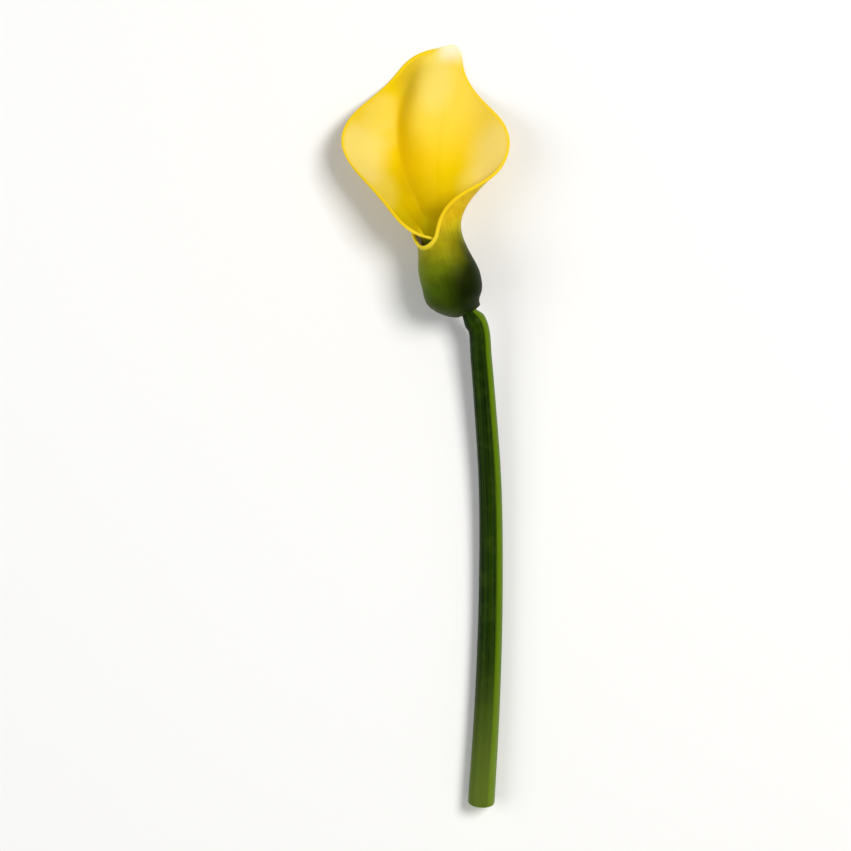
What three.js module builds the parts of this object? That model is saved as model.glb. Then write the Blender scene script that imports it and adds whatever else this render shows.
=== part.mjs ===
// One arum lily flower, picked with its stem and lying on its back: a rolled, funnel-shaped spathe, the short
// spadix down inside its tube, and the cut, fleshy stem that carries both. Millimetres.
// +Y runs from the stem's cut end to the spathe's tip, and +Z is up, the way the mouth faces. +X is to the
// right of somebody who looks down into the mouth with the tip away from them. The origin is in the middle of
// the footprint.
import * as THREE from "three";

// The tube, whose places start from the middle of its base
const BASE = new THREE.Vector3(9.2, 32.2, 13.2); // where that middle is in the part
const TUBE_LEAN = -0.065; // how far the tube leans to the left for each mm along Y
const TUBE_BOW = -0.0062; // how it bends further over, for each square mm
const TUBE_RISE = 0.05; // how far it climbs for each mm
const KNEE = new THREE.Vector3(3.5, 2.2, -2.8); // from the middle of the base to where the stem joins it
const KNEE_HEIGHT = 2.4; // the knee dies out over this height
const BELLY_LEFT = 0.85; // the base bulges this much more to the left than to the right
const BELLY_HEIGHT = 3.8;
const BELLY_SPREAD = 2.8;
const HANG_LEFT = 0.12; // the base hangs down by this slope to the left
const HANG_FRONT = 0.12; // and by this one in front of the stem
const SIDES_RISE = 0.1; // and rises by this slope to both sides
const SIDES_FROM = 2; // softly, from this far aside
const HANG_HEIGHT = 10;
const FOOT_TILT = 0.3; // the foot is tilted by this much more, square to the stem
const FOOT_TILT_HEIGHT = 1.5;
const FOOT_RADIUS = 2.7;
const BULB_RADIUS = 7.85;
const BULB_HEIGHT = 12;
const BULB_SPREAD_BELOW = 11; // it narrows slowly down to the base
const BULB_SPREAD_ABOVE = 6.3; // and faster up to the waist
const BASE_HEIGHT = 7; // the rounded base turns into the tube's wall over this height
const BASE_ROUNDNESS = 0.62; // 0.5 would make it a half ball, and 1 a bowl with straighter sides
const WAIST_RADIUS = 5.8;

// The spathe's sheet
const WAIST_HEIGHT = 19; // the mouth starts to open out here on the left
const WAIST_RISE = 3; // and this much higher up on the right
const LIP_REACH = 4; // where the rim is low, the mouth starts this far below it
const LOWEST_START = 0.6; // but no lower than this share of the rim's height
const WIND = 1.5; // the sheet winds outwards by this much a turn, so that its margins overlap with a gap
const START_PULL = 0.38; // how far the sheet goes on along the tube before it opens, as a share of its reach
const RIM_PULL = 0.36; // how far back from the rim it takes the rim's direction
const SIDE_TURN = 30; // degrees by which the rim rolls more to the nearest side than straight out of the tube
const FOLD_LEFT = -17.8; // the fold in the sheet: where its bottom bows furthest left
const FOLD_HEIGHT = 54; // how high up that is
const FOLD_BOW = 0.0119;
const FOLD_WIDTH_LEFT = 4.5;
const FOLD_WIDTH_RIGHT = 3;
const FOLD_DEPTH = 2.8;
const FOOT_THICK = 0.6; // the sheet's thickness where it grips the stem
const SPATHE_THICK = 1;
const RIM_THICK = 0.9;
const SURFACE_GIVE = 0.35; // how softly the spathe's back lies down on the surface
const PRESS = 0.22; // the back is pressed this much flatter, into one small flat spot

// The stem
const STEM_LENGTH = 144;
const STEM_HEAD = 1.4; // the stem's head stands this far up inside the spathe's foot
const STEM_HEAD_RADIUS = 2.2;
const STEM_TOP_RADIUS = 3.1;
const STEM_LYING_RADIUS = 3.85;
const STEM_CUT_RADIUS = 4;
const SHOULDER = 0.25; // the stem is this much thicker just below the spathe
const SHOULDER_AT = 5.2; // this far from the stem's head
const SHOULDER_SPREAD = 1.8;
const CUT_SLANT = 0.35; // the knife's slant across the stem's end
const STEM_SIDES = 20;
const STEM_STEPS = 34;
const STEM_CROWD = 1.5; // how much closer together its rings are near the head

// The spadix
const SPADIX_ROUTE = [
  [1.0, 8.5, -0.4],
  [-1.6, 14.5, 0.7],
  [-3.6, 21, 1.2],
];
const SPADIX_RADIUS = 1.92;
const SPADIX_TIP_RADIUS = 1.6;
const SPADIX_TAPER = 1.6; // above 1, the spadix tapers mostly near its tip
const TIP_FROM = 0.88; // the share of its length where its round tip starts
const TIP_LENGTH = 0.125;
const FLORETS_ROUND = 9;
const FLORET_ROWS = 13;
const FLORET_RELIEF = 0.3;
const CLEARANCE = 0.3; // between pieces that touch

// The spathe's mesh
const COLUMNS_PER_ROW = 2.2; // columns of the mesh for each row of RIM
const TUBE_STEPS = 10;
const MOUTH_STEPS = 15;
const TUBE_CROWD = 1.7; // how much closer together the tube's rows are near the foot

const radians = THREE.MathUtils.degToRad;

// The direction that points out of the tube at an angle in degrees: 0 is the back, 90 the right and 180 the
// front.
function outward(angle) {
  return new THREE.Vector3(Math.sin(radians(angle)), 0, -Math.cos(radians(angle)));
}

// The tube's radius at a height above the foot: a rounded base, a bulb and a waist.
function tubeRadius(height) {
  const spread = height < BULB_HEIGHT ? BULB_SPREAD_BELOW : BULB_SPREAD_ABOVE;
  const bulb = Math.exp(-(((height - BULB_HEIGHT) / spread) ** 2));
  const wall = WAIST_RADIUS + (BULB_RADIUS - WAIST_RADIUS) * bulb;
  const rounding = (1 - (1 - Math.min(height / BASE_HEIGHT, 1)) ** 2) ** BASE_ROUNDNESS;
  return FOOT_RADIUS + (wall - FOOT_RADIUS) * rounding;
}

// The middle of the tube at a height, with the knee where it comes off the stem.
function tubeMiddle(height) {
  const belly = BELLY_LEFT * Math.exp(-(((height - BELLY_HEIGHT) / BELLY_SPREAD) ** 2));
  const x = TUBE_LEAN * height + TUBE_BOW * height ** 2 - belly;
  const knee = Math.exp(-height / KNEE_HEIGHT);
  return new THREE.Vector3(x, height, TUBE_RISE * height).addScaledVector(KNEE, knee);
}

// A point on the tube's wall, standing out by more than the wall where `stand` is above 0.
function onTube(angle, height, stand = 0) {
  const step = 0.02;
  const slope = (tubeRadius(height + step) - tubeRadius(height)) / step;
  const wound = (WIND * angle) / 360 + stand;
  const along = wound / Math.hypot(1, slope);
  const out = outward(angle).multiplyScalar(tubeRadius(height) + along);
  const sides = SIDES_RISE * (Math.hypot(out.x, SIDES_FROM) - SIDES_FROM);
  const hang = Math.exp(-((height / HANG_HEIGHT) ** 2)) * (HANG_LEFT * out.x - HANG_FRONT * out.z + sides);
  const tilt = Math.exp(-height / FOOT_TILT_HEIGHT) * FOOT_TILT * out.x;
  return tubeMiddle(height).add(out).add(new THREE.Vector3(0, hang + tilt - along * slope, 0));
}

// The rim, from the inner margin, which is hidden in the tube, round the left lobe, the tip and the right
// lobe, and across the front to the outer margin. Each row is the angle round the tube where the sheet comes
// up, the rim's place from the foot, and how strongly the rim rolls outwards.
function margin(angle, height, stand, roll) {
  return [angle, ...onTube(angle, height, stand).toArray(), roll];
}
const RIM = [
  margin(-193, 19.0, 0, 0),
  margin(-183, 21.4, 0, 0),
  [-166, -7.4, 23.0, 6.8, 0.1],
  [-148, -11.8, 23.8, 7.3, 0.2],
  [-134, -16.8, 27.2, 6.8, 0.3],
  [-123, -21.1, 33.2, 5.6, 0.4],
  [-112, -25.6, 38.4, 4.2, 0.4],
  [-101, -30.3, 43.2, 2.4, 0.5],
  [-88, -33.7, 48.6, 0.0, 0.7],
  [-73, -34.0, 54.4, -3.0, 0.8],
  [-58, -30.8, 59.9, -6.4, 0.7],
  [-43, -25.4, 64.6, -9.8, 0.6],
  [-28, -19.4, 69.8, -12.8, 0.7],
  [-13, -14.9, 76.4, -14.8, 0.8],
  [0, -9.4, 79.2, -15.8, 0.8],
  [10, -4.5, 80.0, -16.2, 0.7],
  [17, -0.7, 81.6, -16.3, 0.6],
  [24, 1.8, 79.0, -15.9, 0.7],
  [34, 1.7, 73.4, -14.6, 0.7],
  [46, 5.0, 67.0, -12.0, 0.6],
  [59, 9.8, 62.0, -8.8, 0.6],
  [73, 14.3, 57.2, -5.0, 0.7],
  [87, 16.0, 51.0, -1.0, 0.8],
  [101, 14.1, 44.6, 2.8, 0.7],
  [115, 9.7, 40.2, 6.2, 0.6],
  [129, 4.9, 37.6, 8.6, 0.5],
  [143, 0.1, 34.9, 9.6, 0.5],
  [157, -4.0, 30.8, 9.4, 0.5],
  [171, -5.6, 26.2, 8.8, 0.5],
  margin(187, 23.4, 1.0, 0.6),
  margin(204, 20.9, 1.1, 0.8),
  margin(221, 19.6, 1.1, 0.9),
  margin(236, 19.7, 1.1, 0.9),
  margin(250, 20.8, 1.0, 0.8),
  margin(263, 22.6, 0.9, 0.7),
  margin(276, 24.6, 0.8, 0.5),
  margin(289, 25.7, 0.7, 0.4),
  margin(302, 24.2, 0.6, 0.3),
  margin(312, 20.5, 0.4, 0.2),
];
const FOOT_FROM = -112; // at the foot the margins overlap only a little
const FOOT_TO = 262;
const FAN_HEIGHT = 12; // above this height the margins have fanned out to their full overlap

// A uniform cubic B-spline through the first and the last row.
function spline(rows, x) {
  const last = rows.length - 1;
  const at = (k) => {
    if (k < 0) return rows[0].map((v, i) => 2 * v - rows[1][i]);
    if (k > last) return rows[last].map((v, i) => 2 * v - rows[last - 1][i]);
    return rows[k];
  };
  const k = Math.min(Math.floor(x), last - 1);
  const f = x - k;
  const weights = [(1 - f) ** 3, 3 * f ** 3 - 6 * f ** 2 + 4, -3 * f ** 3 + 3 * f ** 2 + 3 * f + 1, f ** 3];
  return rows[0].map((_, i) => weights.reduce((sum, w, j) => sum + (w / 6) * at(k - 1 + j)[i], 0));
}

// A fold in the sheet, left of the middle: its bottom bows to the left between the throat and the rim.
function foldDepth(point, angle, open) {
  const { smoothstep } = THREE.MathUtils;
  const aside = point.x - (FOLD_LEFT + FOLD_BOW * (point.y - FOLD_HEIGHT) ** 2);
  const width = aside < 0 ? FOLD_WIDTH_LEFT : FOLD_WIDTH_RIGHT;
  const [middleAngle, fullWithin, endsWithin] = [-30, 60, 100];
  const round = 1 - smoothstep(Math.abs(angle - middleAngle), fullWithin, endsWithin);
  const [grownAt, fadesFrom, leftAtRim] = [0.3, 0.75, 0.2];
  const along = smoothstep(open, 0, grownAt) * (1 - (1 - leftAtRim) * smoothstep(open, fadesFrom, 1));
  return FOLD_DEPTH * Math.exp(-((aside / width) ** 2)) * along * round;
}

// Lies a height down softly on the surface, at half the sheet's thickness.
function restOnSurface(point) {
  const lowest = SPATHE_THICK / 2 - PRESS - BASE.z;
  const above = (point.z - lowest) / SURFACE_GIVE;
  const highEnough = 20; // so high up nothing changes
  if (above < highEnough) point.z = lowest + SURFACE_GIVE * Math.log(1 + Math.exp(above));
  return point;
}

// The middle of the spathe's sheet: `across` runs from the inner margin at 0 to the outer one at 1, and `up`
// from the foot at 0 to the rim at 1.
function spatheSheet(across, up) {
  const [angle, x, y, z, roll] = spline(RIM, across * (RIM.length - 1));
  const rim = new THREE.Vector3(x, y, z);
  const opensAt = WAIST_HEIGHT + (WAIST_RISE * (1 + Math.sin(radians(angle)))) / 2;
  const waist = Math.min(opensAt, Math.max(LOWEST_START * y, y - LIP_REACH));
  const share = TUBE_STEPS / (TUBE_STEPS + MOUTH_STEPS);
  const footAngle = THREE.MathUtils.lerp(FOOT_FROM, FOOT_TO, across);
  const tube = (height) => {
    const fan = THREE.MathUtils.smoothstep(height, 0, FAN_HEIGHT);
    return onTube(THREE.MathUtils.lerp(footAngle, angle, fan), height);
  };
  if (up <= share) return restOnSurface(tube(waist * (up / share) ** TUBE_CROWD));
  const start = tube(waist);
  const step = 0.1;
  const startWay = start.clone().sub(tube(waist - step)).normalize();
  const chord = rim.clone().sub(start);
  const reach = chord.length();
  const side = outward(angle - SIDE_TURN * Math.sin(radians(angle)));
  const endWay = chord.clone().normalize().addScaledVector(side, roll).normalize();
  const curve = new THREE.CubicBezierCurve3(
    start,
    start.clone().addScaledVector(startWay, START_PULL * reach),
    rim.clone().addScaledVector(endWay, -RIM_PULL * reach),
    rim,
  );
  const open = (up - share) / (1 - share);
  const point = curve.getPoint(open);
  point.z -= foldDepth(point, angle, open);
  return restOnSurface(point);
}

// A closed BufferGeometry from its vertices and the triangles between them.
function closedGeometry(vertices, triangles) {
  const geometry = new THREE.BufferGeometry();
  const places = vertices.flatMap((v) => v.toArray());
  geometry.setAttribute("position", new THREE.Float32BufferAttribute(places, 3));
  geometry.setIndex(triangles);
  geometry.computeVertexNormals();
  return geometry;
}

// A thin sheet with two faces, split into triangles alike, and an edge all round.
function sheetGeometry(sheet, columns, rows, thickAt, lowest) {
  const middle = [];
  for (let i = 0; i <= columns; i++)
    for (let j = 0; j <= rows; j++) middle.push(sheet(i / columns, j / rows));
  const at = (i, j) => i * (rows + 1) + j;
  const normal = (i, j) => {
    const across = middle[at(Math.min(i + 1, columns), j)].clone().sub(middle[at(Math.max(i - 1, 0), j)]);
    const up = middle[at(i, Math.min(j + 1, rows))].clone().sub(middle[at(i, Math.max(j - 1, 0))]);
    return up.cross(across).normalize();
  };
  const face = (side) =>
    middle.map((point, k) => {
      const i = Math.floor(k / (rows + 1));
      const j = k % (rows + 1);
      const moved = point.clone().addScaledVector(normal(i, j), (side * thickAt(j / rows)) / 2);
      moved.z = Math.max(moved.z, lowest);
      return moved;
    });
  const count = middle.length;
  const triangles = [];
  const quad = (a, b, c, d) => triangles.push(a, b, c, a, c, d);
  for (let i = 0; i < columns; i++)
    for (let j = 0; j < rows; j++) {
      quad(at(i, j), at(i, j + 1), at(i + 1, j + 1), at(i + 1, j));
      triangles.push(count + at(i, j), count + at(i + 1, j + 1), count + at(i, j + 1));
      triangles.push(count + at(i, j), count + at(i + 1, j), count + at(i + 1, j + 1));
    }
  const border = [];
  for (let i = 0; i < columns; i++) border.push(at(i, 0));
  for (let j = 0; j < rows; j++) border.push(at(columns, j));
  for (let i = columns; i > 0; i--) border.push(at(i, rows));
  for (let j = rows; j > 0; j--) border.push(at(0, j));
  border.forEach((a, k) => {
    const b = border[(k + 1) % border.length];
    quad(a, b, count + b, count + a);
  });
  return closedGeometry([...face(1), ...face(-1)], triangles);
}

// A closed body from rings of points, with a flat fan over each end.
function ringsGeometry(rings) {
  const sides = rings[0].length;
  const middle = (ring) => ring.reduce((sum, v) => sum.add(v), new THREE.Vector3()).divideScalar(sides);
  const vertices = [...rings.flat(), middle(rings[0]), middle(rings[rings.length - 1])];
  const first = rings.length * sides;
  const triangles = [];
  for (let k = 0; k < sides; k++) {
    const next = (k + 1) % sides;
    for (let r = 0; r < rings.length - 1; r++) {
      const [a, b] = [r * sides + k, r * sides + next];
      triangles.push(a, b, b + sides, a, b + sides, a + sides);
    }
    const end = (rings.length - 1) * sides;
    triangles.push(first, next, k, first + 1, end + k, end + next);
  }
  return closedGeometry(vertices, triangles);
}

// A ring of points round a centre, square to a direction that is mostly along Y.
function ring(centre, along, sides, radiusAt) {
  const right = new THREE.Vector3(0, 0, 1).cross(along).normalize();
  const above = along.clone().cross(right);
  return Array.from({ length: sides }, (_, k) => {
    const turn = (2 * Math.PI * k) / sides;
    const out = right.clone().multiplyScalar(Math.cos(turn)).addScaledVector(above, Math.sin(turn));
    return centre.clone().addScaledVector(out, radiusAt(turn));
  });
}

const foot = tubeMiddle(0);
const footWay = new THREE.Vector3(-HANG_LEFT - FOOT_TILT, 1, HANG_FRONT).normalize();

// The stem: from its head inside the spathe's foot back and down until it lies on the surface.
function stemGeometry() {
  const { lerp, smoothstep } = THREE.MathUtils;
  const lying = (radius) => radius - BASE.z;
  const route = new THREE.CatmullRomCurve3(
    [
      foot.clone().addScaledVector(footWay, STEM_HEAD),
      foot.clone().addScaledVector(footWay, -STEM_HEAD),
      new THREE.Vector3(6.4, -3.3, -3.8),
      new THREE.Vector3(7.3, -12, -5.1),
      new THREE.Vector3(8.3, -24, -6.5),
      new THREE.Vector3(10.0, -50, -8.3),
      new THREE.Vector3(10.2, -82, lying(STEM_LYING_RADIUS)),
      new THREE.Vector3(9.2, -114, lying(STEM_LYING_RADIUS)),
      new THREE.Vector3(7.4, -STEM_LENGTH, lying(STEM_CUT_RADIUS)),
    ],
    false,
    "centripetal",
  );
  const length = route.getLength();
  const [narrowTo, wideFrom] = [2, 6]; // the narrow head ends between these lengths
  const rings = [];
  for (let k = 0; k <= STEM_STEPS; k++) {
    const share = (k / STEM_STEPS) ** STEM_CROWD;
    const below = share * length;
    const head = (STEM_TOP_RADIUS - STEM_HEAD_RADIUS) * (1 - smoothstep(below, narrowTo, wideFrom));
    const shoulder = SHOULDER * Math.exp(-(((below - SHOULDER_AT) / SHOULDER_SPREAD) ** 2));
    const radius = lerp(STEM_TOP_RADIUS, STEM_CUT_RADIUS, share) - head + shoulder;
    const along = route.getTangentAt(share);
    const slant = k === STEM_STEPS ? CUT_SLANT : 0;
    const round = ring(route.getPointAt(share), along, STEM_SIDES, () => radius);
    rings.push(round.map((v) => v.addScaledVector(along, slant * (v.z - lying(STEM_CUT_RADIUS)))));
  }
  return ringsGeometry(rings);
}

// The spadix: a blunt finger covered with florets, here as relief in rows that are set between each other.
function spadixGeometry() {
  const onFootWay = (height) => foot.clone().addScaledVector(footWay, height);
  const route = new THREE.CatmullRomCurve3([
    onFootWay(STEM_HEAD + CLEARANCE),
    onFootWay(STEM_HEAD + CLEARANCE + 2),
    ...SPADIX_ROUTE.map((place) => new THREE.Vector3(...place)),
  ]);
  const sides = FLORETS_ROUND * 4;
  const steps = FLORET_ROWS * 4;
  const rings = [];
  for (let j = 0; j <= steps; j++) {
    const share = j / steps;
    const row = share * FLORET_ROWS;
    const body = THREE.MathUtils.lerp(SPADIX_RADIUS, SPADIX_TIP_RADIUS, share ** SPADIX_TAPER);
    const dome = Math.sqrt(1 - Math.max(0, (share - TIP_FROM) / TIP_LENGTH) ** 2);
    rings.push(
      ring(route.getPointAt(share), route.getTangentAt(share), sides, (turn) => {
        const shift = turn * FLORETS_ROUND;
        const bump = Math.cos(shift + Math.PI * row) * Math.cos(shift - Math.PI * row);
        return (body + FLORET_RELIEF * bump) * dome;
      }),
    );
  }
  return ringsGeometry(rings);
}

function spatheGeometry() {
  const columns = Math.round((RIM.length - 1) * COLUMNS_PER_ROW);
  const gripsTo = 0.15;
  const thick = (up) => {
    const grip = (SPATHE_THICK - FOOT_THICK) * (1 - THREE.MathUtils.smoothstep(up, 0, gripsTo));
    return THREE.MathUtils.lerp(SPATHE_THICK, RIM_THICK, up) - grip;
  };
  return sheetGeometry(spatheSheet, columns, TUBE_STEPS + MOUTH_STEPS, thick, -BASE.z);
}

const yellow = new THREE.MeshStandardMaterial({ color: 0xf2cf2e, roughness: 0.5, metalness: 0 });
const green = new THREE.MeshStandardMaterial({ color: 0x46611a, roughness: 0.45, metalness: 0 });
const gold = new THREE.MeshStandardMaterial({ color: 0xe3b010, roughness: 0.8, metalness: 0 });

const flower = new THREE.Group();
function add(name, geometry, material) {
  const mesh = new THREE.Mesh(geometry, material);
  mesh.name = name;
  flower.add(mesh);
}
add("stem", stemGeometry(), green);
add("spadix", spadixGeometry(), gold);
add("spathe", spatheGeometry(), yellow);
flower.position.copy(BASE);

const part = new THREE.Group();
part.add(flower);

export default part;
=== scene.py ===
"""One arum lily flower, picked with its stem and lying on its back on a pale floor, seen from above.

Lengths are in millimetres and places start from the foot of the tube, as in the part's own source, until
make_piece() turns them into metres. A point is an array whose last axis is x, y and z. A colour is three sRGB
channels from 0 to 255, until linear() turns it into a linear one.
"""
import math

import bpy
import numpy as np
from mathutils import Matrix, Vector


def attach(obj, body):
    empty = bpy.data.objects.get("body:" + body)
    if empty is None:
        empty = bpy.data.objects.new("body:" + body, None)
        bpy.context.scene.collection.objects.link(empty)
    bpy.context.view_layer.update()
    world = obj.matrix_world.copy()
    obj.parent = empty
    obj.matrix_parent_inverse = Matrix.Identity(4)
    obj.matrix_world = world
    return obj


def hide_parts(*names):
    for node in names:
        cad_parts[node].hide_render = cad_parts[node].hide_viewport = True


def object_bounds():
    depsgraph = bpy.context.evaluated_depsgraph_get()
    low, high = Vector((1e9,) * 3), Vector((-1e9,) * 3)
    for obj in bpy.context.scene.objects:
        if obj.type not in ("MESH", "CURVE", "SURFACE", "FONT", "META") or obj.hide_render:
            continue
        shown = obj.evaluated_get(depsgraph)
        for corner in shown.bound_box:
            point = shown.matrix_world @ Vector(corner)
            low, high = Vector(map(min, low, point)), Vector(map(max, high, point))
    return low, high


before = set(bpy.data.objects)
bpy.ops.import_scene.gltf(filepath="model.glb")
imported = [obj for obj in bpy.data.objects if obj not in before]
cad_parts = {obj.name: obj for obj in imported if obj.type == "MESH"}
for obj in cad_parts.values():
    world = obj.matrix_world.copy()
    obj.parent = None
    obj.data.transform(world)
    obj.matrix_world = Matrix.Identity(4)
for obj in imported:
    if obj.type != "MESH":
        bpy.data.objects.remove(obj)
cad_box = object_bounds()

MM = 0.001

# The flower's place and its tube
BASE = np.array([9.2, 32.2, 13.2])  # the middle of the tube's base; the flower's places start from here
TUBE_LEAN = -0.065  # how far the tube leans to the left for each mm along Y
TUBE_BOW = -0.0062  # how it bends further over, for each square mm
TUBE_RISE = 0.05  # how far it rises for each mm along Y
KNEE = np.array([3.5, 2.2, -2.8])  # from the middle of the base to where the stem joins it
KNEE_HEIGHT = 2.4
BELLY_LEFT = 0.85  # the base bulges this much more to the left than to the right
BELLY_HEIGHT = 3.8
BELLY_SPREAD = 2.8
HANG_LEFT = 0.12  # the base hangs down by this slope to the left
HANG_FRONT = 0.12  # and by this one in front of the stem
SIDES_RISE = 0.1  # and rises by this slope to both sides
SIDES_FROM = 2.0  # softly, from this far aside
HANG_HEIGHT = 10.0
FOOT_TILT = 0.3  # the foot is tilted by this much more, square to the stem
FOOT_TILT_HEIGHT = 1.5
FOOT_RADIUS = 2.7
BULB_RADIUS = 7.85
BULB_HEIGHT = 12.0
BULB_SPREAD_BELOW = 11.0  # it narrows slowly down to the base
BULB_SPREAD_ABOVE = 6.3  # and faster up to the waist
BASE_HEIGHT = 7.0  # the rounded base turns into the tube's wall over this height
BASE_ROUNDNESS = 0.62  # 0.5 would make it a half ball, and 1 a bowl with straighter sides
WAIST_RADIUS = 5.8

# The spathe's sheet
WAIST_HEIGHT = 19.0  # the mouth starts to open out here on the left
WAIST_RISE = 3.0  # and this much higher up on the right
LIP_REACH = 4.0  # where the rim is low, the mouth starts this far below it
LOWEST_START = 0.6  # but no lower than this share of the rim's height
WIND = 1.5  # the sheet winds outwards by this much a turn
START_PULL = 0.38  # how far the sheet goes on along the tube before it opens, as a share of its reach
RIM_PULL = 0.36  # how far back from the rim it takes the rim's direction
SIDE_TURN = 30.0  # degrees by which the rim rolls more to the nearest side than straight out of the tube
FOLD_LEFT = -17.8  # the fold in the sheet: where its bottom bows furthest left
FOLD_HEIGHT = 54.0
FOLD_BOW = 0.0119
FOLD_WIDTH_LEFT = 4.5
FOLD_WIDTH_RIGHT = 3.0
FOLD_DEPTH = 2.8
FOLD_ANGLE = -30.0  # the fold's middle, round the tube
FOLD_REACH = (60, 100)  # it ends this many degrees away from there
FOLD_START = 0.3  # its depth comes on over this share of the way from the waist to the rim
FOLD_FADE_FROM = 0.75  # and fades from this share on
FOLD_FADE = 0.8
FOOT_THICK = 0.6
SPATHE_THICK = 1.0
RIM_THICK = 0.75
RIM_BEAD = 0.25  # how much thicker the very edge is
RIM_BEAD_WIDTH = (0.2, 1.6)  # from full to none, from the edge
FLOOR_GIVE = 0.35  # how softly the spathe's back lies down on the floor
PRESS = 0.22

# The stem
STEM_LENGTH = 144.0
STEM_HEAD = 1.4  # the stem's head stands this far up inside the spathe's foot
STEM_HEAD_RADIUS = 2.3
STEM_HEAD_LENGTH = (2, 6)  # it widens to the stem's own radius between these lengths below its top
STEM_TOP_RADIUS = 3.1
STEM_LYING_RADIUS = 3.85
STEM_CUT_RADIUS = 4.0
SHOULDER = 0.25  # the stem is this much thicker just below the spathe
SHOULDER_AT = 5.2
SHOULDER_SPREAD = 1.8
STEM_CROWD = 1.3  # how much closer together its rings are near the head
STEM_WAY = 148.0  # about its length along its middle
RIDGES = 9  # low ridges along the stem, and finer ones between them
RIDGE_RELIEF = 0.035
RIDGE_SWAY = 0.6  # how far they wander round the stem, in radians of their own wave
RIDGE_SWAYS = 7  # and how often, in radians along the whole stem
FINE_RIDGES = 17
FINE_RIDGE_RELIEF = 0.02

# The stem's cut, whose edge is a little rounded and whose pith is sunk
CUT_SLANT = 0.35
BEVEL_INSET = (0.12, 0.3)
BEVEL_AHEAD = (0.2, 0.28)
FLESH_INSET = (0.5, 3.6)
FLESH_AHEAD = 0.26
PITH_DEPTH = 0.5
PITH_EDGE = (0.6, 3.2)

# The spadix
SPADIX_STRAIGHT = 2  # it follows the stem's direction for this length
SPADIX_ROUTE = [(1.0, 8.5, -0.4), (-1.6, 14.5, 0.7), (-3.6, 21.0, 1.2)]
SPADIX_RADIUS = 1.92
SPADIX_TIP_RADIUS = 1.6
SPADIX_TAPER = 1.6
DOME_FROM = 0.88  # its blunt end starts at this share of its length
DOME_REACH = 0.125  # and would be closed after this share, a little past the last ring
FLORETS_ROUND = 14
FLORET_ROWS = 26
FLORET_RELIEF = 0.28
CLEARANCE = 0.3

# The fine meshes
SPATHE_COLUMNS = 340
TUBE_ROWS = 44
MOUTH_ROWS = 84
TUBE_CROWD = 1.7  # how much closer together the tube's rows are near the foot
TUBE_SHARE = 0.4  # the tube's share of the way from the foot to the rim, for the sheet's thickness
EDGE_STEPS = 6
EDGE_TURNS = np.linspace(0, np.pi, EDGE_STEPS + 1)[1:-1]
VEIN_ANGLE = 9.0  # degrees round the tube from one raised vein to the next
VEIN_RELIEF = 0.006
VEIN_STRENGTHS = (0.3, 1.0)
VEIN_FADE = (0.5, 5)  # the veins die out between these distances from the edge
VEIN_SEED = 7
STEM_SIDES = 64
STEM_RINGS = 260
CUT_RINGS = 14
SPADIX_SIDES = 112
SPADIX_RINGS = 200

# The valley of painted shade along the fold, a darker yellow
VALLEY_LEFT = -16.6  # its line where it bows furthest left
VALLEY_HEIGHT = 56.0
VALLEY_BOW = 0.008
VALLEY_STEP = 1.5  # the line moves this far to the right between two heights
VALLEY_STEP_UP = (61, 68)
VALLEY_WIDTH_LEFT = 1.7
VALLEY_WIDTH_RIGHT = 3.8
WIDENS_ABOVE = 60.0  # towards the rim it widens from this height on
WIDENS_UP = 0.25
WIDENS_BELOW = 46.0  # towards the throat it widens from this height down on its left
WIDENS_DOWN_LEFT = 0.4
WIDENS_DOWN_RIGHT = 0.45
VALLEY_TOP = (88, 72)  # from nothing to all of it, from above
VALLEY_FOOT = (24, 40)  # and from below

# The painted shade of the throat, a darker yellow
THROAT = (-9.0, 34.0)
THROAT_REACH = (6.5, 9.0)
SHADE_START = 0.1  # both shades come on over this share of the way from the waist to the rim
SHADE_REACH = (80, 110)  # and end this many degrees away from the fold's middle

# Painted light on the crown, below the tip, that makes its yellow paler
CROWN = 0.42
CROWN_FOOT = (42, 64)
CROWN_LEFT = (-18, -11)

# Painted light that makes the inside paler: each patch's middle, how far it reaches aside and along, how
# strong it is
PAINTED_LIGHT_PATCHES = [
    (-30.0, 47.5, 9.5, 11.0, 0.95),
    (-22.0, 61.0, 7.0, 6.0, 0.45),
    (-20.5, 53.5, 4.5, 4.5, 0.3),
    (-23.0, 36.0, 6.0, 7.0, 0.4),
    (15.5, 45.0, 12.0, 13.5, 0.95),
    (6.0, 38.5, 6.0, 6.0, 0.4),
    (-7.0, 71.0, 6.5, 11.0, 0.5),
]
PATCH_EDGE = (1.25, 0.5)  # a patch fades between these shares of its reach
SHADE_OVER_LIGHT = 0.9


def smoothstep(x, low, high):
    t = np.clip((x - low) / (high - low), 0, 1)
    return t * t * (3 - 2 * t)


def lerp(a, b, t):
    return a + (b - a) * t


def unit(vectors):
    return vectors / np.linalg.norm(vectors, axis=-1, keepdims=True)


def point(x, y, z):
    return np.stack(np.broadcast_arrays(x, y, z), axis=-1).astype(float)


def outward(angle):
    """The direction out of the tube at an angle in degrees: 0 is the back, 90 the right and 180 the front."""
    turn = np.radians(angle)
    return point(np.sin(turn), 0, -np.cos(turn))


def tube_radius(height):
    """The tube's radius at a height above the foot: a rounded base, a bulb and a waist."""
    spread = np.where(height < BULB_HEIGHT, BULB_SPREAD_BELOW, BULB_SPREAD_ABOVE)
    wall = WAIST_RADIUS + (BULB_RADIUS - WAIST_RADIUS) * np.exp(-(((height - BULB_HEIGHT) / spread) ** 2))
    rounding = (1 - (1 - np.clip(height / BASE_HEIGHT, 0, 1)) ** 2) ** BASE_ROUNDNESS
    return FOOT_RADIUS + (wall - FOOT_RADIUS) * rounding


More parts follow.
